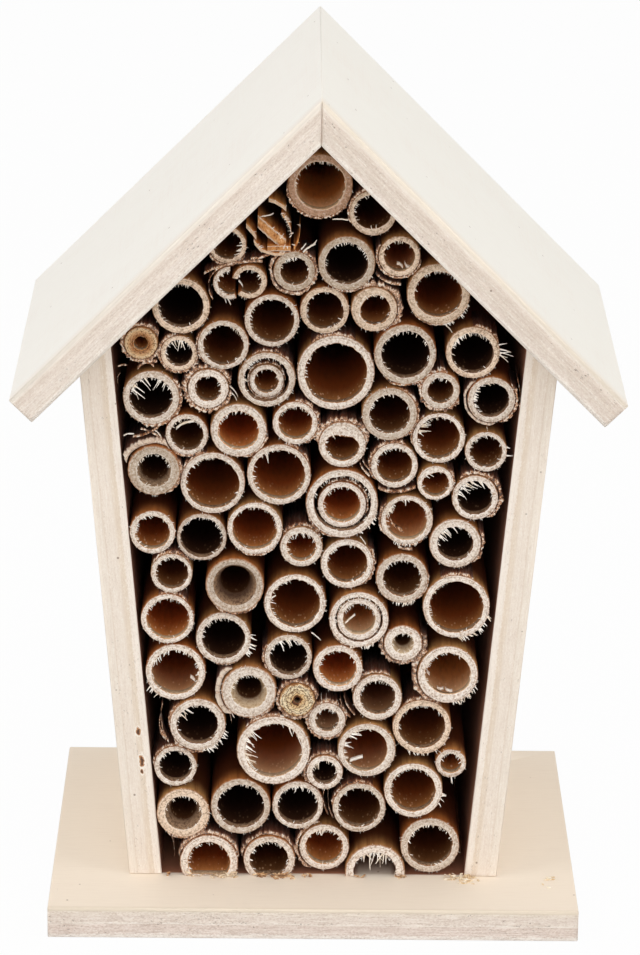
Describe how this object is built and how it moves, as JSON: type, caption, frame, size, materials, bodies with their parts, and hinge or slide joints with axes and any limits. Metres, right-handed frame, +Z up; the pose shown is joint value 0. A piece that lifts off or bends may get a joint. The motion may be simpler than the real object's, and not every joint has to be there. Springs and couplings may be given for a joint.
{
  "type": "bee hotel",
  "caption": "Small gabled plywood bee hotel with leaning walls and a wide base, packed from floor to ridge with hollow bamboo and reed canes, mouths to the front.",
  "frame": {"origin": "centre of the base plate's underside", "axes": "+Z up, -Y out of the front (the cane mouths), +X to the viewer's right"},
  "size_m": [0.1266, 0.09, 0.183],
  "materials": {
    "plywood": "sanded, unfinished",
    "cane": "sawn ends, natural skin",
    "brad_steel": "bright wire"
  },
  "bodies": {
    "root": {"back_panel": "plywood", "base_brads": "brad_steel", "base_plate": "plywood", "broken_canes": "cane", "cane_01": "cane", "cane_02": "cane", "cane_03": "cane", "cane_04": "cane", "cane_05": "cane", "cane_06": "cane", "cane_07": "cane", "cane_08": "cane", "cane_09": "cane", "cane_10": "cane", "cane_11": "cane", "cane_12": "cane", "cane_13": "cane", "cane_14": "cane", "cane_15": "cane", "cane_16": "cane", "cane_17": "cane", "cane_18": "cane", "cane_19": "cane", "cane_20": "cane", "cane_21": "cane", "cane_22": "cane", "cane_23": "cane", "cane_24": "cane", "cane_25": "cane", "cane_26": "cane", "cane_27": "cane", "cane_28": "cane", "cane_29": "cane", "cane_30": "cane", "cane_31": "cane", "cane_32": "cane", "cane_33": "cane", "cane_34": "cane", "cane_35": "cane", "cane_36": "cane", "cane_37": "cane", "cane_38": "cane", "cane_39": "cane", "cane_40": "cane", "cane_41": "cane", "cane_42": "cane", "cane_43": "cane", "cane_44": "cane", "cane_45": "cane", "inner_canes": "cane", "left_roof_board": "plywood", "left_wall": "plywood", "right_roof_board": "plywood", "right_wall": "plywood", "side_brads": "brad_steel", "small_canes_lower": "cane", "small_canes_middle": "cane", "small_canes_upper": "cane"}
  },
  "joints": []
}
